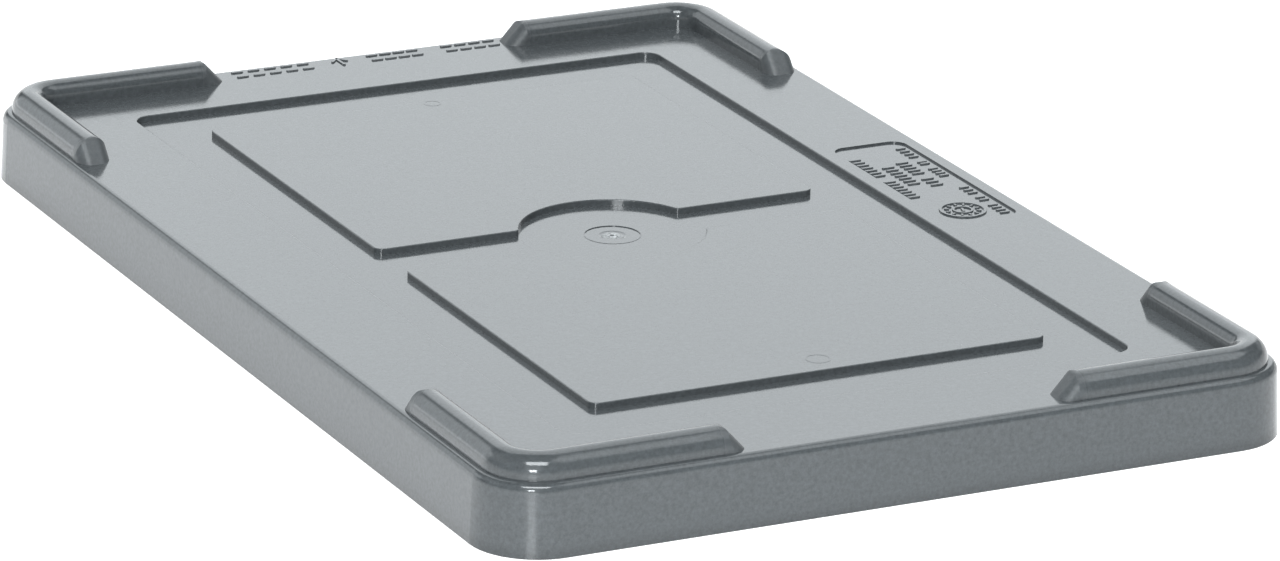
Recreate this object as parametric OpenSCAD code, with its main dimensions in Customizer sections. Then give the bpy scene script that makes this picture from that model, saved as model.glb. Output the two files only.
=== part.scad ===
// Clip-on lid for a stackable storage tote, one grey moulding drawn as its named regions.
// Origin: centre of the lid on the plane of the skirt's lower edge. +Z up, the front edge at -Y.

/* [Lid outline] */
// Width of the lid across X at the skirt's lower edge
lid_width = 275; // [255:1:320]
// Length of the lid along Y at the skirt's lower edge
lid_length = 419; // [390:1:480]
// Height of the deck's top face above the skirt's lower edge
deck_height = 23.4; // [20:0.2:34]
// Plan radius of the four corners at the skirt's lower edge
corner_r = 22; // [19:0.5:30]
// Thickness of the deck sheet
deck_t = 2.4; // [1.8:0.1:3]

/* [Skirt] */
// Thickness of the skirt wall
skirt_t = 2.2; // [1.6:0.1:3]
// Inward lean of the skirt's outer face from its lower edge to its top fillet
skirt_draft = 0.9; // [0.3:0.1:1.6]
// Radius of the fillet from the skirt into the deck
edge_r = 2.8; // [2:0.1:4]
// Radius that breaks the skirt's outer lower edge
lip_r = 0.5; // [0.2:0.1:0.8]

/* [Snap beads] */
// How far a bead stands into the skirt
bead_out = 1.1; // [0.6:0.1:1.6]
// Height of the beads' centre line above the lower edge
bead_z = 5; // [3.5:0.5:8]
// Length of the beads on the long sides
bead_len_side = 60; // [30:5:90]
// Length of the beads on the short ends
bead_len_end = 50; // [30:5:80]
// Distance of the long sides' beads from the middle of the lid
bead_side_at = 110; // [70:5:125]

/* [Recess in the deck] */
// Width of the deck's border along the long sides, from the skirt's lower edge
border_side = 39.6; // [37:0.2:46]
// Width of the deck's border along the short ends, from the skirt's lower edge
border_end = 38.5; // [37:0.5:46]
// Depth of the recess below the border
recess_depth = 2; // [1.2:0.1:3]
// Plan radius of the recess corners
recess_r = 6; // [4:0.5:10]
// Thickness of the step walls of the recess and the pads
step_t = 2; // [1.4:0.1:2.6]
// Small radius along the top edges of the recess and the pads
brow_r = 0.4; // [0.3:0.1:0.8]

/* [Raised pads] */
// Channel between the recess wall and the pads' sides
channel_side = 19; // [12:1:30]
// Channel between the recess wall and the pads' outer ends
channel_end = 22; // [12:1:34]
// Channel across the lid between the two pads
channel_mid = 21.4; // [16:0.2:28]
// Height of the pads above the recess floor
pad_rise = 2; // [1.2:0.1:3]
// Plan radius of the pads' corners
pad_r = 3; // [3:0.5:9]
// Radius of the round notch in each pad, about the middle of the lid
notch_r = 30.5; // [20:0.5:40]
// Radius that blends each end of the notch into the pad's straight edge
blend_r = 2; // [1:0.1:4]

/* [Gate disc] */
// Radius of the disc round the moulding gate
gate_r = 9.1; // [6:0.1:12]
// Depth of the disc's face below the recess floor
gate_sink = 0.15; // [0.1:0.05:0.4]
// Radius of the shallow dish left by the gate
dish_r = 4.6; // [3:0.1:6]
// Depth of that dish
dish_depth = 0.15; // [0.1:0.05:0.4]
// Radius of the stub where the sprue broke off
stub_r = 0.9; // [0.5:0.1:1.5]
// Height of the stub above the disc's face
stub_h = 0.2; // [0.1:0.05:0.4]

/* [Stacking ridges] */
// Height of the ridges above the deck
ridge_h = 7.4; // [7:0.2:10]
// Width of a ridge at its foot
ridge_w = 11.5; // [10.5:0.1:13]
// Radius of the shoulder on the outer side, the inner side takes the rest of the width
shoulder_r = 6.5; // [5.5:0.1:6.8]
// Wall of the hollow ridges
ridge_t = 2.2; // [1.6:0.1:2.6]
// Ledge between the start of the deck's edge fillet and a ridge's foot
ledge = 0.3; // [0:0.1:1.5]
// Length of the ridge arms along the short ends
arm_end = 80; // [60:1:95]
// Length of the ridge arms along the long sides
arm_side = 77.5; // [60:0.5:120]
// Run of the sloping end of an arm
slope_run = 6.8; // [4:0.2:10]
// Radius of the corners of that sloping end
slope_r = 4.2; // [1.5:0.1:4.5]
// Radius of the crest where the top of an arm turns down into its sloping end
crest_r = 3.5; // [2:0.1:4.5]

/* [Label pocket] */
// Width of the shallow pocket across X
pocket_w = 26.5; // [16:0.5:28]
// Length of the pocket along Y
pocket_l = 85.5; // [40:0.5:120]
// Depth of the pocket
pocket_depth = 0.6; // [0.3:0.1:1]
// Plan radius of the pocket's corners
pocket_r = 5; // [2:0.5:7]
// Gap from the start of the deck's edge fillet to the pocket
pocket_edge = 3.8; // [3:0.1:5]
// Place of the pocket's middle along Y
pocket_y = -4.2; // [-30:0.2:30]

/* [Underside] */
// Clear width of the channel that takes the tote's rim
rim_channel = 17.5; // [16:0.5:19]
// Depth of the locating wall below the deck
locator_depth = 8; // [6:0.5:12]
// Thickness of the locating wall at its root
locator_t = 2; // [1.6:0.1:3]
// Taper of each face of the locating wall
locator_taper = 0.3; // [0:0.05:0.5]
// Plan radius of the locating wall's corners
locator_r = 10; // [6:1:16]
// Thickness of the gusset ribs across the rim channel
gusset_t = 1.6; // [1.2:0.1:2.4]
// Depth of the gusset ribs below the deck
gusset_depth = 4.5; // [3:0.5:6]
// Spacing of the gusset ribs
gusset_pitch = 62; // [50:1:80]

/* [Hidden] */
$fn = 96;
grey = [0.60, 0.63, 0.64];
deck_grey = [0.68, 0.71, 0.72];
eps = 0.2;

edge_in = skirt_draft + edge_r;             // lower edge to the start of the flat deck
deck_x = lid_width / 2 - edge_in;
deck_y = lid_length / 2 - edge_in;
deck_r = corner_r - edge_in;
deck_bottom = deck_height - deck_t;
recess_x = lid_width / 2 - border_side;
recess_y = lid_length / 2 - border_end;
floor_z = deck_height - recess_depth;
floor_bottom = floor_z - deck_t;
pad_x = recess_x - channel_side;
pad_y1 = channel_mid / 2;
pad_y2 = recess_y - channel_end;
pad_mid = (pad_y1 + pad_y2) / 2;
blend_lap = 0.02;                           // how far a blend's circle passes over both edges it joins
blend_y = pad_y1 + blend_r - blend_lap;
blend_x = sqrt((notch_r + blend_r - blend_lap) ^ 2 - blend_y ^ 2);
blend_far = [blend_x, blend_y] * (notch_r - 1) / (notch_r + blend_r);
disc_top = floor_z - gate_sink;
pad_top = floor_z + pad_rise;
pad_bottom = pad_top - deck_t;
ridge_x = deck_x - ledge;
ridge_y = deck_y - ledge;
ridge_r = deck_r - ledge;
crown_r = ridge_w - shoulder_r;             // radius on the inner side
slope_angle = atan2(ridge_h, slope_run);
crest_z = ridge_h + blend_lap - crest_r;    // middle of the crest's arc, above the deck and in from the tip
crest_in = (crest_r - blend_lap + crest_z * cos(slope_angle)) / sin(slope_angle);
arm_x_tip = ridge_x - arm_end;
arm_y_tip = ridge_y - arm_side;
skirt_in = edge_in - skirt_t;               // inner foot of the skirt, outward from the deck's edge
skirt_lean = skirt_draft / (deck_height - edge_r);
haunch_z = deck_height - edge_r - skirt_t / 3;   // where the skirt's inner face turns under the deck
gusset_z = deck_bottom - gusset_depth;
locator_x = deck_x + skirt_in - rim_channel;
locator_y = deck_y + skirt_in - rim_channel;
locator_z = deck_bottom - locator_depth;
pocket_x = -(deck_x - pocket_edge - pocket_w / 2);

// ---- outlines and sweeps ----

// A rounded rectangle given by its half sizes.
module rounded(hx, hy, r) {
    square([2 * hx, 2 * (hy - r)], center = true);
    square([2 * (hx - r), 2 * hy], center = true);
    for (x = [-1, 1], y = [-1, 1])
        translate([x * (hx - r), y * (hy - r)]) circle(r);
}

// Sweeps a profile, drawn as (outward, up) from the line, along one straight side at +X.
module along_side(hx, y0, y1)
    translate([hx, y1, 0]) rotate([90, 0, 0]) linear_extrude(y1 - y0) children();

// The same profile turned through the corner at +X +Y.
module round_corner(hx, hy, r)
    translate([hx - r, hy - r, 0]) rotate_extrude(angle = 90) translate([r, 0]) children();

// The profile all the way round a rounded rectangle.
module around(hx, hy, r) {
    for (s = [0, 1]) rotate([0, 0, 180 * s]) {
        along_side(hx, -(hy - r), hy - r) children();
        rotate([0, 0, 90]) along_side(hy, -(hx - r), hx - r) children();
        round_corner(hx, hy, r) children();
        mirror([1, 0, 0]) round_corner(hx, hy, r) children();
    }
}

// The waste left outside a convex fillet of radius r whose edge is at (0, z).
module fillet_waste(r, z)
    difference() {
        translate([-r, z - r]) square(r + eps);
        translate([-r, z - r]) circle(r);
    }

// ---- deck ----

// Plan of a pad, with every edge drawn in by inset.
module pad_outline(inset)
    difference() {
        translate([0, pad_mid])
            rounded(pad_x - inset, (pad_y2 - pad_y1) / 2 - inset, max(0.5, pad_r - inset));
        circle(notch_r + inset);
        if (inset == 0)
            for (s = [0, 1]) mirror([s, 0]) difference() {
                polygon([[blend_x, pad_y1 - 1], [blend_x, blend_y], blend_far, [blend_far.x, pad_y1 - 1]]);
                translate([blend_x, blend_y]) circle(blend_r);
            }
    }

// Plan of the space inside one ridge, at the corner +X +Y.
module ridge_core()
    intersection() {
        difference() {
            rounded(ridge_x - ridge_t, ridge_y - ridge_t, ridge_r - ridge_t);
            rounded(ridge_x - ridge_w + ridge_t, ridge_y - ridge_w + ridge_t, ridge_r - ridge_w + ridge_t);
        }
        union() {
            translate([arm_x_tip + slope_run + ridge_t, ridge_y - ridge_w]) square([arm_end, ridge_w]);
            translate([ridge_x - ridge_w, arm_y_tip + slope_run + ridge_t]) square([ridge_w, arm_side]);
        }
    }

module deck_panel()
    color(deck_grey) difference() {
        union() {
            translate([0, 0, deck_bottom]) linear_extrude(deck_t) rounded(deck_x, deck_y, deck_r);
            translate([0, 0, floor_bottom]) linear_extrude(deck_t)
                rounded(recess_x + step_t, recess_y + step_t, recess_r + step_t);
        }
        // the recess and the rounded brow along its edge
        translate([0, 0, floor_z]) linear_extrude(recess_depth + 1) rounded(recess_x, recess_y, recess_r);
        around(recess_x, recess_y, recess_r) mirror([1, 0]) fillet_waste(brow_r, deck_height);
        // seats of the two pads and of the gate disc
        for (s = [0, 1]) mirror([0, s, 0])
            translate([0, 0, floor_bottom - 1]) linear_extrude(deck_t + 2) pad_outline(step_t);
        translate([0, 0, floor_bottom - 1]) cylinder(r = gate_r, h = deck_t + 2);
        // the ridges are hollow from below
        for (x = [0, 1], y = [0, 1]) mirror([x, 0, 0]) mirror([0, y, 0])
            translate([0, 0, floor_bottom - 1]) linear_extrude(deck_t + recess_depth + 2) ridge_core();
        // label pocket on the border
        translate([pocket_x, pocket_y, deck_height - pocket_depth]) linear_extrude(1 + pocket_depth)
            rounded(pocket_w / 2, pocket_l / 2, pocket_r);
    }

// A profile along every edge of the pad behind the middle of the lid.
module pad_edge() {
    notch_angle = atan2(blend_y, blend_x);
    translate([0, pad_mid, 0]) around(pad_x, (pad_y2 - pad_y1) / 2, pad_r) children();
    rotate_extrude() translate([notch_r, 0]) mirror([1, 0]) children();
    for (s = [0, 1]) mirror([s, 0, 0]) translate([blend_x, blend_y, 0]) rotate([0, 0, 180 + notch_angle])
        rotate_extrude(angle = 90 - notch_angle) translate([blend_r, 0]) children();
}

// The pad behind the middle of the lid; the front one is its mirror image.
module pad()
    color(deck_grey) union() {
        difference() {
            translate([0, 0, floor_z]) linear_extrude(pad_rise) pad_outline(0);
            pad_edge() fillet_waste(brow_r, pad_top);
            // the pad is a thin cap
            translate([0, 0, floor_z - 1]) linear_extrude(pad_bottom - floor_z + 1) pad_outline(step_t);
        }
        translate([0, 0, pad_bottom]) linear_extrude(max(0.4, floor_z - pad_bottom)) pad_outline(step_t);
    }

module pad_back() pad();
module pad_front() mirror([0, 1, 0]) pad();

module gate_disc()
    color(grey) {
        difference() {
            translate([0, 0, floor_bottom]) cylinder(r = gate_r, h = disc_top - floor_bottom);
            translate([0, 0, disc_top - dish_depth])
                cylinder(r1 = dish_r - 4 * dish_depth, r2 = dish_r + 4 * eps, h = dish_depth + eps);
        }
        // stub where the sprue broke off
        translate([0, 0, disc_top - dish_depth - eps])
            cylinder(r1 = stub_r, r2 = 0.7 * stub_r, h = dish_depth + stub_h + eps);
    }

// ---- skirt ----

// Section of the skirt, outward from the deck's edge.
module skirt_section() {
    difference() {
        polygon([[edge_in, 0], [edge_r, deck_height - edge_r], [0, deck_height - edge_r],
                 [skirt_in - skirt_lean * haunch_z, haunch_z], [skirt_in, 0]]);
        translate([edge_in - lip_r, 0]) difference() {
            translate([0, -eps]) square([lip_r + eps, lip_r + eps]);
            translate([0, lip_r]) circle(lip_r);
        }
    }
    translate([0, deck_height - edge_r]) intersection() {
        circle(edge_r);
        square(edge_r);
    }
}

// A round-backed bead of the given length on the inner face at +X.
module bead(face, len)
    translate([face, len / 2, bead_z]) rotate([90, 0, 0]) linear_extrude(len)
        difference() {
            translate([bead_out, 0]) circle(2 * bead_out);
            translate([bead_out / 2, -3 * bead_out]) square(6 * bead_out);
        }

module skirt() {
    inner = skirt_in - skirt_lean * bead_z;
    color(grey) union() {
        around(deck_x, deck_y, deck_r) skirt_section();
        for (s = [0, 1]) rotate([0, 0, 180 * s]) {
            for (y = [-1, 1]) translate([0, y * bead_side_at, 0]) bead(deck_x + inner, bead_len_side);
            rotate([0, 0, 90]) bead(deck_y + inner, bead_len_end);
        }
    }
}

// ---- stacking ridges ----

// Section of a ridge, outward from its outer foot, thinned by t on every side.
module ridge_section(t) {
    base = t > 0 ? -1 : 0;
    intersection() {
        union() {
            translate([-shoulder_r, ridge_h - shoulder_r]) circle(shoulder_r - t);
            translate([-shoulder_r, base]) square([shoulder_r - t, ridge_h - shoulder_r - base]);
        }
        translate([-shoulder_r, base]) square([shoulder_r, ridge_h + 1 - base]);
    }
    intersection() {
        union() {
            translate([-shoulder_r, ridge_h - crown_r]) circle(crown_r - t);
            translate([-ridge_w + t, base]) square([crown_r - t, ridge_h - crown_r - base]);
        }
        translate([-ridge_w, base]) square([crown_r, ridge_h + 1 - base]);
    }
}

// The waste above the crest of an arm whose tip is at 0, drawn as (in from the tip, up from the deck).
module crest_waste()
    translate([crest_in, crest_z]) difference() {
        polygon([[0, 0], 2 * crest_r * [-sin(slope_angle), cos(slope_angle)],
                 2 * crest_r * [-sin(slope_angle / 2), 1], [0, 2 * crest_r]]);
        circle(crest_r);
    }

// One arm of a ridge along Y, from its sloping tip at y0 to where the corner starts at y1.
module arm(foot_x, y0, y1) {
    reach = y1 - y0 + 2 * ridge_w;
    difference() {
        intersection() {
            translate([0, 0, deck_height]) along_side(foot_x, y0 - 1, y1) ridge_section(0);
            translate([foot_x - ridge_w / 2, y0, deck_height])
                rotate([-atan2(slope_run, ridge_h), 0, 0])
                    translate([0, 0, -2 * ridge_h]) linear_extrude(2 * ridge_h + reach)
                        translate([0, reach]) rounded(ridge_w / 2, reach, slope_r);
        }
        translate([foot_x - ridge_w - 1, y0, deck_height]) rotate([90, 0, 90])
            linear_extrude(ridge_w + 2) crest_waste();
        translate([0, 0, deck_height])
            along_side(foot_x, y0 + slope_run + ridge_t, y1 + 1) ridge_section(ridge_t);
    }
}

// The ridge at the corner +X +Y.
module ridge()
    color(grey) union() {
        arm(ridge_x, arm_y_tip, ridge_y - ridge_r);
        mirror([1, -1, 0]) arm(ridge_y, arm_x_tip, ridge_x - ridge_r);
        translate([0, 0, deck_height]) difference() {
            round_corner(ridge_x, ridge_y, ridge_r) ridge_section(0);
            round_corner(ridge_x, ridge_y, ridge_r) ridge_section(ridge_t);
        }
    }

module ridge_back_right() ridge();
module ridge_back_left() mirror([1, 0, 0]) ridge();
module ridge_front_right() mirror([0, 1, 0]) ridge();
module ridge_front_left() rotate([0, 0, 180]) ridge();

// ---- underside ----

// The wall that drops inside the tote's rim.
module locating_wall()
    color(grey) around(locator_x, locator_y, locator_r)
        polygon([[0, deck_bottom], [-locator_taper, locator_z + 0.6], [-locator_taper - 0.5, locator_z],
                 [-locator_t + locator_taper + 0.5, locator_z], [-locator_t + locator_taper, locator_z + 0.6],
                 [-locator_t, deck_bottom]]);

// Ribs across the rim channel, square to the sides.
module gusset_row(face, foot, straight) {
    n = floor(straight / gusset_pitch);
    for (i = [-n:n])
        translate([0, i * gusset_pitch + gusset_t / 2, 0]) rotate([90, 0, 0]) linear_extrude(gusset_t)
            polygon([[foot, deck_bottom], [foot - locator_taper * gusset_depth / locator_depth, gusset_z],
                     [face + skirt_in - skirt_lean * gusset_z, gusset_z],
                     [face + skirt_in - skirt_lean * haunch_z, haunch_z],
                     [face, deck_height - edge_r], [face, deck_bottom]]);
}

module rim_gussets()
    color(grey) for (s = [0, 1]) rotate([0, 0, 180 * s]) {
        gusset_row(deck_x, locator_x, locator_y - locator_r - gusset_t);
        rotate([0, 0, 90]) gusset_row(deck_y, locator_y, locator_x - locator_r - gusset_t);
    }

deck_panel();
skirt();
pad_front();
pad_back();
gate_disc();
ridge_front_left();
ridge_front_right();
ridge_back_left();
ridge_back_right();
locating_wall();
rim_gussets();
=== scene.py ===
"""Looks of the clip-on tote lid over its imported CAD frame. Metres, +Z up, the lid's front edge at -Y."""

import math

import bmesh
import bpy
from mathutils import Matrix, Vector


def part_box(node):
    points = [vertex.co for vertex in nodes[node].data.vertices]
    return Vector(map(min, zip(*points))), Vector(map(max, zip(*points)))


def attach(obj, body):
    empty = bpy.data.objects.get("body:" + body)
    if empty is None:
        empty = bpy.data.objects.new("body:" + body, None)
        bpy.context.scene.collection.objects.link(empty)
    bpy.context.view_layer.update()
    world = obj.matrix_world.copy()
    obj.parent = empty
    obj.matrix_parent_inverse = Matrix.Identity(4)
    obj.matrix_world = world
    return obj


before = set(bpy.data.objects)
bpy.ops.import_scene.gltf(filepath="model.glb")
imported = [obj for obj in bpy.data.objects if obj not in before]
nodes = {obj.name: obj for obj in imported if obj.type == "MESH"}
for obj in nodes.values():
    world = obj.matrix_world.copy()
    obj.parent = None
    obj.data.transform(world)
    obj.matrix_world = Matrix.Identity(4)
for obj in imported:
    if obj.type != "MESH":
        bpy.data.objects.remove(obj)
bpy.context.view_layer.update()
MM = 0.001

# ---- places read from the frame ----

PAD_SEAT = 0.4 * MM          # how deep the pads are seated in the recess floor
DISC_STUB = 0.2 * MM         # how far the stub in the middle of the gate disc stands proud of it
DISH_DEPTH = 0.15 * MM       # depth of the dish round that stub
DECK_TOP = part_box("skirt")[1].z
FLOOR_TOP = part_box("pad_back")[0].z + PAD_SEAT
DISC_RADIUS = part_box("gate_disc")[1].x
DISC_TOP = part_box("gate_disc")[1].z - DISC_STUB
DISH_FLOOR = DISC_TOP - DISH_DEPTH

# ---- the camera, as the lid is seen ----

CAMERA_AZIMUTH = 153.76      # degrees, 0 looks along +Y
CAMERA_ELEVATION = 18.84
CAMERA_ROLL = 0.96
CAMERA_DISTANCE = 2.535
CAMERA_RIGHT = 9.3 * MM      # how far the line of sight passes beside and above the origin
CAMERA_UP = 5.4 * MM
CAMERA_LENS = 219.0          # mm, on a sensor 36 mm wide


def direction(azimuth, elevation):
    """Unit vector from the origin towards a viewer at this azimuth and elevation, in degrees."""
    a, e = math.radians(azimuth), math.radians(elevation)
    return Vector((math.sin(a) * math.cos(e), -math.cos(a) * math.cos(e), math.sin(e)))


def place_with_axes(obj, place, right, up, back):
    """Puts obj at place with its own X, Y and Z along the given directions."""
    for row in range(3):
        obj.matrix_world[row][0] = right[row]
        obj.matrix_world[row][1] = up[row]
        obj.matrix_world[row][2] = back[row]
        obj.matrix_world[row][3] = place[row]


def make_camera():
    data = bpy.data.cameras.new("camera")
    data.sensor_width = 36
    data.lens = CAMERA_LENS
    data.clip_start, data.clip_end = 0.1, 60
    camera = bpy.data.objects.new("camera", data)
    bpy.context.scene.collection.objects.link(camera)
    back = direction(CAMERA_AZIMUTH, CAMERA_ELEVATION)
    level = direction(CAMERA_AZIMUTH + 90, 0)
    above = back.cross(level)
    roll = math.radians(CAMERA_ROLL)
    right = level * math.cos(roll) + above * math.sin(roll)
    up = above * math.cos(roll) - level * math.sin(roll)
    place_with_axes(camera, back * CAMERA_DISTANCE + right * CAMERA_RIGHT + up * CAMERA_UP, right, up, back)
    bpy.context.scene.camera = camera


# ---- node helpers ----


def new_material(name):
    material = bpy.data.materials.new(name)
    material.use_nodes = True
    tree = material.node_tree
    tree.nodes.clear()
    return material, tree


def add(tree, kind, **settings):
    """A node with its settings. A key that names an input sets that input's value."""
    node = tree.nodes.new(kind)
    for key, value in settings.items():
        if key in node.inputs:
            node.inputs[key].default_value = value
        else:
            setattr(node, key, value)
    return node


def noise(tree, coords, scale, detail=3.0, roughness=0.5):
    node = add(tree, "ShaderNodeTexNoise", Scale=scale, Detail=detail, Roughness=roughness)
    tree.links.new(coords, node.inputs["Vector"])
    return node.outputs["Fac"]


def span(tree, value, low, high, from_low=0.3, from_high=0.7):
    """Maps value from its usual noise range to low..high."""
    node = add(tree, "ShaderNodeMapRange")
    for name, number in (("From Min", from_low), ("From Max", from_high), ("To Min", low), ("To Max", high)):
        node.inputs[name].default_value = number
    tree.links.new(value, node.inputs["Value"])
    return node.outputs["Result"]


def bump(tree, height, strength, distance, under=None):
    node = add(tree, "ShaderNodeBump", Strength=strength, Distance=distance)
    tree.links.new(height, node.inputs["Height"])
    if under is not None:
        tree.links.new(under, node.inputs["Normal"])
    return node.outputs["Normal"]


# ---- the moulded grey plastic ----

GREY = (0.075, 0.082, 0.086)
TORN_WHITE = (0.62, 0.64, 0.65, 1)
SPECKLE = 0.19               # how far the speckle departs from the grey, as a share of it
END_DULL = 6 * MM            # an arm of a ridge is duller from its end to here
END_CLEAR = 11 * MM          # and as glossy as the rest from here

# how fine each layer of the surface is, in waves per metre, and how deep
SPECKLE_SCALE = 750
RUB_SCALE = 260
TORN_SCALE = 1500
WAVE_SCALE, WAVE_DEPTH = 16, 0.06 * MM
PEEL_SCALE, PEEL_DEPTH = 480, 0.012 * MM
GRAIN_SCALE, GRAIN_DEPTH = 1900, 0.02 * MM


def near_arm_ends(tree, coords):
    """1 at the sloping ends of the ridges' arms, and 0 from a few millimetres along the arms."""
    low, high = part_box("ridge_back_right")
    place = add(tree, "ShaderNodeSeparateXYZ")
    tree.links.new(coords, place.inputs[0])
    ramps = []
    for axis, end in (("X", min(abs(low.x), abs(high.x))), ("Y", min(abs(low.y), abs(high.y)))):
        size = add(tree, "ShaderNodeMath", operation="ABSOLUTE")
        tree.links.new(place.outputs[axis], size.inputs[0])
        ramps.append(span(tree, size.outputs[0], 1, 0, end + END_DULL, end + END_CLEAR))
    either = add(tree, "ShaderNodeMath", operation="MAXIMUM")
    tree.links.new(ramps[0], either.inputs[0])
    tree.links.new(ramps[1], either.inputs[1])
    return either.outputs[0]


def whiten(tree, colour, coords, radius):
    """The colour, whitened in torn flecks within radius of the object's middle."""
    place = add(tree, "ShaderNodeVectorMath", operation="MULTIPLY")
    place.inputs[1].default_value = (1, 1, 0)
    tree.links.new(coords, place.inputs[0])
    reach = add(tree, "ShaderNodeVectorMath", operation="LENGTH")
    tree.links.new(place.outputs["Vector"], reach.inputs[0])
    near = span(tree, reach.outputs["Value"], 1, 0, 0.35 * radius, radius)
    flecks = add(tree, "ShaderNodeMath", operation="MULTIPLY")
    tree.links.new(span(tree, noise(tree, coords, TORN_SCALE, detail=2), 0, 1, 0.4, 0.6), flecks.inputs[0])
    tree.links.new(near, flecks.inputs[1])
    white = add(tree, "ShaderNodeMix", data_type="RGBA")
    white.inputs[7].default_value = TORN_WHITE
    tree.links.new(flecks.outputs[0], white.inputs[0])
    tree.links.new(colour, white.inputs[6])
    return white.outputs[2]


def grey_plastic(name, sheen_low=0.09, sheen_high=0.14, end_sheen=0.0, torn_radius=0.0):
    """Grey polypropylene: fine speckle, a fine mould texture, and the slow waves of a thin moulding.

    Its roughness lies between sheen_low and sheen_high, and end_sheen is added to it at the ends of a
    ridge's arms. Within torn_radius of the object's middle it is whitened, as plastic is where it tore.
    """
    material, tree = new_material(name)
    coords = add(tree, "ShaderNodeTexCoord").outputs["Object"]
    shader = add(tree, "ShaderNodeBsdfPrincipled", IOR=1.5)
    speckle = noise(tree, coords, SPECKLE_SCALE, detail=3, roughness=0.7)
    tint = add(tree, "ShaderNodeMix", data_type="RGBA")
    tint.inputs[6].default_value = (*[c * (1 - SPECKLE) for c in GREY], 1)
    tint.inputs[7].default_value = (*[c * (1 + SPECKLE) for c in GREY], 1)
    tree.links.new(span(tree, speckle, 0, 1), tint.inputs[0])
    grey = tint.outputs[2]
    if torn_radius:
        grey = whiten(tree, grey, coords, torn_radius)
    tree.links.new(grey, shader.inputs["Base Color"])
    rubbed = noise(tree, coords, RUB_SCALE, detail=5, roughness=0.65)
    sheen = span(tree, rubbed, sheen_low, sheen_high)
    if end_sheen:
        duller = add(tree, "ShaderNodeMath", operation="MULTIPLY_ADD")
        duller.inputs[1].default_value = end_sheen
        tree.links.new(near_arm_ends(tree, coords), duller.inputs[0])
        tree.links.new(sheen, duller.inputs[2])
        sheen = duller.outputs[0]
    tree.links.new(sheen, shader.inputs["Roughness"])
    waves = bump(tree, noise(tree, coords, WAVE_SCALE, detail=1), 1.0, WAVE_DEPTH)
    peel = bump(tree, noise(tree, coords, PEEL_SCALE, detail=3, roughness=0.7), 1.0, PEEL_DEPTH, under=waves)
    grain = bump(tree, noise(tree, coords, GRAIN_SCALE, detail=2), 0.35, GRAIN_DEPTH, under=peel)
    tree.links.new(grain, shader.inputs["Normal"])
    output = add(tree, "ShaderNodeOutputMaterial")
    tree.links.new(shader.outputs["BSDF"], output.inputs["Surface"])
    return material


def dress(obj, material):
    obj.data.materials.clear()
    obj.data.materials.append(material)


# ---- raised marks of the mould ----
# Plain strokes, an arrow and a dial of ticks fill the places where such a lid carries its marks.

SINK = 0.1 * MM              # how far every mark starts below the surface that it stands on
ROUND_STEPS = 6
RING_STEPS = 64


def stroke_outline(start, end, half_width):
    """Outline of a round-ended stroke in plan, counter-clockwise."""
    heading = math.atan2(end[1] - start[1], end[0] - start[0])
    points = []
    for centre, first in ((end, heading - math.pi / 2), (start, heading + math.pi / 2)):
        for i in range(ROUND_STEPS + 1):
            a = first + math.pi * i / ROUND_STEPS
            points.append((centre[0] + half_width * math.cos(a), centre[1] + half_width * math.sin(a)))
    return points


def ring_outline(centre, radius):
    angles = [2 * math.pi * i / RING_STEPS for i in range(RING_STEPS)]
    return [(centre[0] + radius * math.cos(a), centre[1] + radius * math.sin(a)) for a in angles]


def loft(mesh, loops):
    """Joins closed loops of points, each to the next, and returns their vertices."""
    rings = [[mesh.verts.new(point) for point in loop] for loop in loops]
    for low, high in zip(rings, rings[1:]):
        for i, vertex in enumerate(low):
            j = (i + 1) % len(low)
            mesh.faces.new((vertex, low[j], high[j], high[i]))
    return rings


def at_height(outline, z):
    return [(x, y, z) for x, y in outline]


def raise_stroke(mesh, start, end, base, half_width, rise):
    """A stroke with drafted sides and a softened top edge."""
    soft = 0.2 * rise
    levels = (
        (half_width + soft, base - SINK),
        (half_width, base + rise - soft),
        (half_width - soft, base + rise),
    )
    rings = loft(mesh, [at_height(stroke_outline(start, end, w), z) for w, z in levels])
    mesh.faces.new(rings[-1])
    mesh.faces.new(reversed(rings[0]))


def raise_ring(mesh, centre, radius, base, half_width, rise):
    """A round rib with the same section as a stroke."""
    soft = 0.2 * rise
    section = (
        (half_width + soft, base - SINK),
        (half_width, base + rise - soft),
        (half_width - soft, base + rise),
        (soft - half_width, base + rise),
        (-half_width, base + rise - soft),
        (-half_width - soft, base - SINK),
    )
    loft(mesh, [at_height(ring_outline(centre, radius + w), z) for w, z in section + section[:1]])


def finish_piece(name, mesh, material, sharp=30):
    """Turns mesh into a piece of the lid, smooth apart from its sharp edges."""
    bmesh.ops.remove_doubles(mesh, verts=mesh.verts, dist=0.001 * MM)
    bmesh.ops.recalc_face_normals(mesh, faces=mesh.faces)
    for face in mesh.faces:
        face.smooth = True
    data = bpy.data.meshes.new(name)
    mesh.to_mesh(data)
    mesh.free()
    data.set_sharp_from_angle(angle=math.radians(sharp))
    piece = bpy.data.objects.new(name, data)
    bpy.context.scene.collection.objects.link(piece)
    dress(piece, material)
    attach(piece, "root")
    return piece


LEGEND_RISE = 0.45 * MM
LEGEND_IN = 4.6 * MM         # middle of the legend, in from the deck's front edge
LEGEND_GROUPS = ((48.4, 17.6, 5), (-2.8, -23.2, 4), (-31.0, -52.6, 4))   # mm along X, and how many marks
DASH_ROW = 2.6 * MM          # how far each row of dashes is from the middle
DASH_HALF = 1.6 * MM         # half the length of a dash
DASH_WIDTH = 0.55 * MM       # half its width
ARROW_X = 7.6 * MM
ARROW_TIP = -3.6 * MM        # along Y from the legend's middle
ARROW_TAIL = 3.4 * MM
ARROW_BARB = 2.6 * MM        # how far a barb reaches to the side
ARROW_BARB_END = -0.6 * MM   # and where it ends along Y
ARROW_WIDTH = 0.5 * MM       # half the width of its strokes


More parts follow.
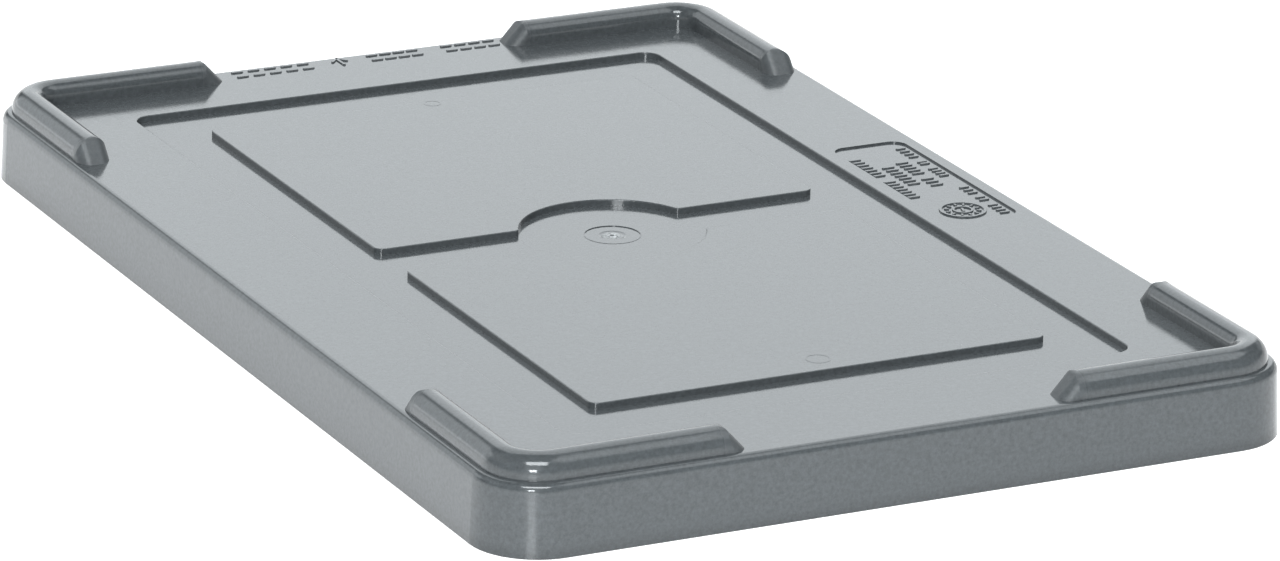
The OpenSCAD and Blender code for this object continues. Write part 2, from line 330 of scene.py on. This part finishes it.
def make_legend(material):
    """Pairs of dashes along the front border, with an arrow to the front edge."""
    mesh = bmesh.new()
    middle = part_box("deck_panel")[0].y + LEGEND_IN
    for first, last, count in LEGEND_GROUPS:
        pitch = (last - first) / count * MM
        for i in range(count):
            x = first * MM + pitch * (i + 0.5)
            for y in (middle - DASH_ROW, middle + DASH_ROW):
                ends = (x - DASH_HALF, y), (x + DASH_HALF, y)
                raise_stroke(mesh, *ends, DECK_TOP, DASH_WIDTH, LEGEND_RISE)
    tip = (ARROW_X, middle + ARROW_TIP)
    raise_stroke(mesh, (ARROW_X, middle + ARROW_TAIL), tip, DECK_TOP, ARROW_WIDTH, LEGEND_RISE)
    for side in (-ARROW_BARB, ARROW_BARB):
        barb = (ARROW_X + side, middle + ARROW_BARB_END)
        raise_stroke(mesh, barb, tip, DECK_TOP, ARROW_WIDTH, LEGEND_RISE)
    finish_piece("legend_dashes", mesh, material)


POCKET_DEPTH = 0.6 * MM
POCKET_FLOOR = DECK_TOP - POCKET_DEPTH
POCKET_RISE = 0.45 * MM
POCKET_ROWS = (
    # distance in from the deck's edge, length of a tick, and the first and last place of each group, in mm
    (27.6, 3.6, ((-35.5, -14.8), (-10.4, 9.6))),
    (20.8, 3.6, ((-24.4, -3.0),)),
    (14.2, 3.6, ((-27.0, -12.4), (-9.0, 1.0))),
    (7.4, 2.6, ((-41.0, -28.6), (-25.2, -21.0), (-17.6, -7.2), (4.0, 13.2), (15.4, 21.0), (24.2, 35.2))),
)
TICK_PITCH = 2.9 * MM
TICK_WIDTH = 0.5 * MM        # half the width of a tick, and of the dial's rim
DIAL_IN, DIAL_Y, DIAL_RADIUS = 19.0 * MM, 26.4 * MM, 7.4 * MM
DIAL_HUB = 0.42              # radius of the inner ring, as a share of the dial's
DIAL_TICKS = 12
SPOKE_WIDTH = 0.4 * MM
POINTER_WIDTH = 0.45 * MM
POINTER_ANGLE = 75           # degrees


def make_pocket_marks(material):
    """Rows of plain ticks in the label pocket."""
    mesh = bmesh.new()
    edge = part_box("deck_panel")[0].x
    for inward, length, groups in POCKET_ROWS:
        x, half = edge + inward * MM, length * MM / 2
        for first, last in groups:
            count = max(2, round((last - first) * MM / TICK_PITCH))
            for i in range(count):
                y = (first + (last - first) * (i + 0.5) / count) * MM
                raise_stroke(mesh, (x - half, y), (x + half, y), POCKET_FLOOR, TICK_WIDTH, POCKET_RISE)
    finish_piece("pocket_ticks", mesh, material)


def make_dial(material):
    """A moulder's date dial: a ring, twelve ticks and a pointer, all blank."""
    mesh = bmesh.new()
    centre = (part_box("deck_panel")[0].x + DIAL_IN, DIAL_Y)
    raise_ring(mesh, centre, DIAL_RADIUS, POCKET_FLOOR, TICK_WIDTH, POCKET_RISE)
    raise_ring(mesh, centre, DIAL_HUB * DIAL_RADIUS, POCKET_FLOOR, SPOKE_WIDTH, POCKET_RISE)

    def spoke(angle, inner, outer, half_width):
        ends = [(centre[0] + r * math.cos(angle), centre[1] + r * math.sin(angle)) for r in (inner, outer)]
        raise_stroke(mesh, *ends, POCKET_FLOOR, half_width, POCKET_RISE)

    for i in range(DIAL_TICKS):
        spoke(2 * math.pi * i / DIAL_TICKS, 0.66 * DIAL_RADIUS, 0.78 * DIAL_RADIUS, SPOKE_WIDTH)
    spoke(math.radians(POINTER_ANGLE), -0.15 * DIAL_RADIUS, 0.2 * DIAL_RADIUS, POINTER_WIDTH)
    finish_piece("date_dial", mesh, material)


PIN_WIDTH = 0.22 * MM        # half the width of the ring that a pin leaves
DISC_RING_GAP = 0.15 * MM    # from the disc's edge to the middle of the ring round it
DISC_RING = 0.1 * MM         # height of that ring, and half its width


def make_witness_rings(material):
    """Faint rings where round pins of the mould met the two pads, and round the disc of the gate."""
    mesh = bmesh.new()
    front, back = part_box("pad_front"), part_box("pad_back")
    raise_ring(mesh, (-2.2 * MM, front[0].y + 3.2 * MM), 2.7 * MM, DECK_TOP, PIN_WIDTH, 0.05 * MM)
    raise_ring(mesh, (-3.4 * MM, back[1].y - 9.6 * MM), 3.8 * MM, DECK_TOP, PIN_WIDTH, 0.06 * MM)
    raise_ring(mesh, (0, 0), DISC_RADIUS + DISC_RING_GAP, FLOOR_TOP, DISC_RING, DISC_RING)
    finish_piece("witness_rings", mesh, material)


GATE_RADIUS = 3.9 * MM       # just inside the dish of the gate disc
GATE_RINGS = 14
GATE_RAYS = 9
RAY_HEIGHT = 0.14 * MM
STUB_RADIUS = 0.6 * MM
STUB_HEIGHT = 0.3 * MM


def gate_height(r, angle):
    """Height of the torn gate above the dish: rays of flow round a lopsided stub."""
    flow = math.sin(math.pi * min(1.0, r / GATE_RADIUS)) ** 2
    rays = 0.5 + 0.5 * math.cos(GATE_RAYS * angle + 2.2 * math.sin(3 * angle))
    stub = 1 / (1 + (r / STUB_RADIUS) ** 4)
    lean = 1 + 0.45 * math.cos(angle - 2.4) * r / STUB_RADIUS
    return RAY_HEIGHT * flow * rays + STUB_HEIGHT * stub * lean


def make_gate_mark(material):
    """The torn plastic in the dish of the gate disc, lofted from rings that close in on the stub."""
    mesh = bmesh.new()
    loops = []
    for k in range(GATE_RINGS, 0, -1):
        r = GATE_RADIUS * k / GATE_RINGS
        outline = ring_outline((0, 0), r)
        loop = []
        for x, y in outline:
            edge = SINK if k == GATE_RINGS else 0
            loop.append((x, y, DISH_FLOOR + gate_height(r, math.atan2(y, x)) - edge))
        loops.append(loop)
    ends = loft(mesh, [at_height(ring_outline((0, 0), GATE_RADIUS), DISH_FLOOR - SINK)] + loops)
    mesh.faces.new(ends[-1])
    mesh.faces.new(reversed(ends[0]))
    finish_piece("gate_mark", mesh, material, sharp=60)


# ---- floor, backdrop, lamps ----


def white_stage(name, glow=0.85, body=0.78, polish=0.27):
    """Polished white: white to the camera and in reflections. It still takes shadows and mirrors lamps."""
    material, tree = new_material(name)
    ray = add(tree, "ShaderNodeLightPath")
    seen = add(tree, "ShaderNodeMath", operation="MAXIMUM")
    tree.links.new(ray.outputs["Is Camera Ray"], seen.inputs[0])
    tree.links.new(ray.outputs["Is Glossy Ray"], seen.inputs[1])
    also = add(tree, "ShaderNodeMath", operation="MAXIMUM")
    tree.links.new(seen.outputs[0], also.inputs[0])
    tree.links.new(ray.outputs["Is Transmission Ray"], also.inputs[1])
    strength = add(tree, "ShaderNodeMath", operation="MULTIPLY")
    strength.inputs[1].default_value = glow
    tree.links.new(also.outputs[0], strength.inputs[0])
    light = add(tree, "ShaderNodeEmission")
    tree.links.new(strength.outputs[0], light.inputs["Strength"])
    matt = add(tree, "ShaderNodeBsdfDiffuse")
    matt.inputs["Color"].default_value = (body, body, body, 1)
    mirror = add(tree, "ShaderNodeBsdfGlossy")
    mirror.inputs["Roughness"].default_value = polish
    surface = add(tree, "ShaderNodeMixShader")
    tree.links.new(add(tree, "ShaderNodeFresnel", IOR=1.5).outputs[0], surface.inputs[0])
    tree.links.new(matt.outputs[0], surface.inputs[1])
    tree.links.new(mirror.outputs[0], surface.inputs[2])
    both = add(tree, "ShaderNodeAddShader")
    tree.links.new(light.outputs[0], both.inputs[0])
    tree.links.new(surface.outputs[0], both.inputs[1])
    output = add(tree, "ShaderNodeOutputMaterial")
    tree.links.new(both.outputs[0], output.inputs["Surface"])
    return material


def make_floor(radius=10.0, sweep=1.5):
    """A round floor that curves up into a low wall, well behind every view."""
    steps, around = 12, 96
    profile = [(0.0, 0.0), (radius - sweep, 0.0)]
    for i in range(1, steps + 1):
        a = math.radians(90 * i / steps)
        profile.append((radius - sweep + sweep * math.sin(a), sweep - sweep * math.cos(a)))
    mesh = bmesh.new()
    rings = []
    for r, z in profile[1:]:
        angles = [2 * math.pi * k / around for k in range(around)]
        rings.append([mesh.verts.new((r * math.cos(a), r * math.sin(a), z)) for a in angles])
    mesh.faces.new(rings[0])
    for low, high in zip(rings, rings[1:]):
        for k in range(around):
            mesh.faces.new((low[(k + 1) % around], low[k], high[k], high[(k + 1) % around]))
    data = bpy.data.meshes.new("floor")
    mesh.to_mesh(data)
    mesh.free()
    floor = bpy.data.objects.new("floor", data)
    bpy.context.scene.collection.objects.link(floor)
    dress(floor, white_stage("stage_white"))


LAMP_TINT = (0.93, 0.975, 1.0)


def fade(tree, place, start, end):
    """Rises from 0 at the lamp's low edge to 1 at start, and falls again from end to its high edge."""
    factors = []
    for low, high, first, last in ((0.0, start, 0, 1), (end, 1.0, 1, 0)):
        if high - low < 0.001:
            continue
        ramp = add(tree, "ShaderNodeMapRange", interpolation_type="SMOOTHSTEP")
        for name, number in (("From Min", low), ("From Max", high), ("To Min", first), ("To Max", last)):
            ramp.inputs[name].default_value = number
        tree.links.new(place, ramp.inputs["Value"])
        factors.append(ramp.outputs["Result"])
    return factors


def soften(lamp, sides, bottom, top):
    """Lets a lamp's radiance fall off smoothly over these shares of its width and height."""
    lamp.use_nodes = True
    tree = lamp.node_tree
    tree.nodes.clear()
    place = add(tree, "ShaderNodeSeparateXYZ")
    tree.links.new(add(tree, "ShaderNodeNewGeometry").outputs["Parametric"], place.inputs[0])
    factors = fade(tree, place.outputs["X"], sides, 1 - sides)
    factors += fade(tree, place.outputs["Y"], bottom, 1 - top)
    light = add(tree, "ShaderNodeEmission")
    strength = factors[0]
    for factor in factors[1:]:
        product = add(tree, "ShaderNodeMath", operation="MULTIPLY")
        tree.links.new(strength, product.inputs[0])
        tree.links.new(factor, product.inputs[1])
        strength = product.outputs[0]
    tree.links.new(strength, light.inputs["Strength"])
    output = add(tree, "ShaderNodeOutputLight")
    tree.links.new(light.outputs[0], output.inputs["Surface"])


def softbox(name, azimuth, elevation, distance, width, height, radiance, sides=0, bottom=0, top=0):
    """A rectangular lamp that faces the lid. Its radiance is what its own face would show.

    sides, bottom and top are the shares of its width and height over which it fades to its edges.
    """
    data = bpy.data.lights.new(name, "AREA")
    data.shape = "RECTANGLE"
    data.size, data.size_y = width, height
    data.energy = radiance * math.pi * width * height
    data.color = LAMP_TINT
    lamp = bpy.data.objects.new(name, data)
    bpy.context.scene.collection.objects.link(lamp)
    back = direction(azimuth, elevation)
    level = direction(azimuth + 90, 0)
    place_with_axes(lamp, back * distance, level, back.cross(level), back)
    lamp.visible_camera = False
    if sides or bottom or top:
        soften(data, sides, bottom, top)


def make_world(level=0.06):
    """A dim room round the studio boxes."""
    world = bpy.data.worlds.new("studio")
    bpy.context.scene.world = world
    world.use_nodes = True
    background = world.node_tree.nodes["Background"]
    background.inputs["Color"].default_value = (*LAMP_TINT, 1)
    background.inputs["Strength"].default_value = level


def make_light_table(size=2.4, radiance=0.9):
    """A light panel that lies on the floor under and round the lid, and lights its sides from below."""
    softbox("light_table", 0, -90, -0.5 * MM, size, size, radiance)
    panel = bpy.data.objects["light_table"]
    panel.visible_glossy = False


def make_light():
    """The studio that the highlights on the lid point to, as azimuths round it from the camera's side."""
    make_world()
    front, left, away, right = (CAMERA_AZIMUTH + turn for turn in (0, -90, 180, 90))
    softbox("back_panel", away, 35, 3.0, 3.0, 4.2, 2.04, sides=0.15, bottom=0.26, top=0.1)
    softbox("back_left_box", left - 36, 18, 3.0, 2.7, 1.95, 1.58, sides=0.28, bottom=0.1, top=0.15)
    softbox("back_right_box", away - 35, 14, 3.0, 1.4, 0.95, 0.46)
    softbox("right_overhead", right, 60, 3.0, 3.2, 1.5, 2.4, sides=0.3, bottom=0.12, top=0.4)
    softbox("left_high", left, 38, 3.0, 3.6, 1.7, 0.5, sides=0.2, bottom=0.3, top=0.3)
    softbox("front_overhead", front, 57, 3.0, 1.66, 0.92, 13)
    softbox("key_lamp", front - 6, 19, 3.0, 0.62, 0.5, 33)
    softbox("front_glow", front - 6, 28, 3.1, 2.4, 2.7, 1.1, sides=0.4, top=0.1)
    make_light_table()


# ---- assembly ----

make_camera()
make_floor()
make_light()
plastic = grey_plastic("grey_plastic")
ridge_plastic = grey_plastic("ridge_plastic", end_sheen=0.3)
for node_name, node in nodes.items():
    dress(node, ridge_plastic if node_name.startswith("ridge") else plastic)
make_legend(plastic)
make_pocket_marks(plastic)
make_dial(plastic)
make_witness_rings(plastic)
make_gate_mark(grey_plastic("torn_plastic", sheen_low=0.22, sheen_high=0.4, torn_radius=GATE_RADIUS))

bpy.context.scene.view_settings.view_transform = "Standard"
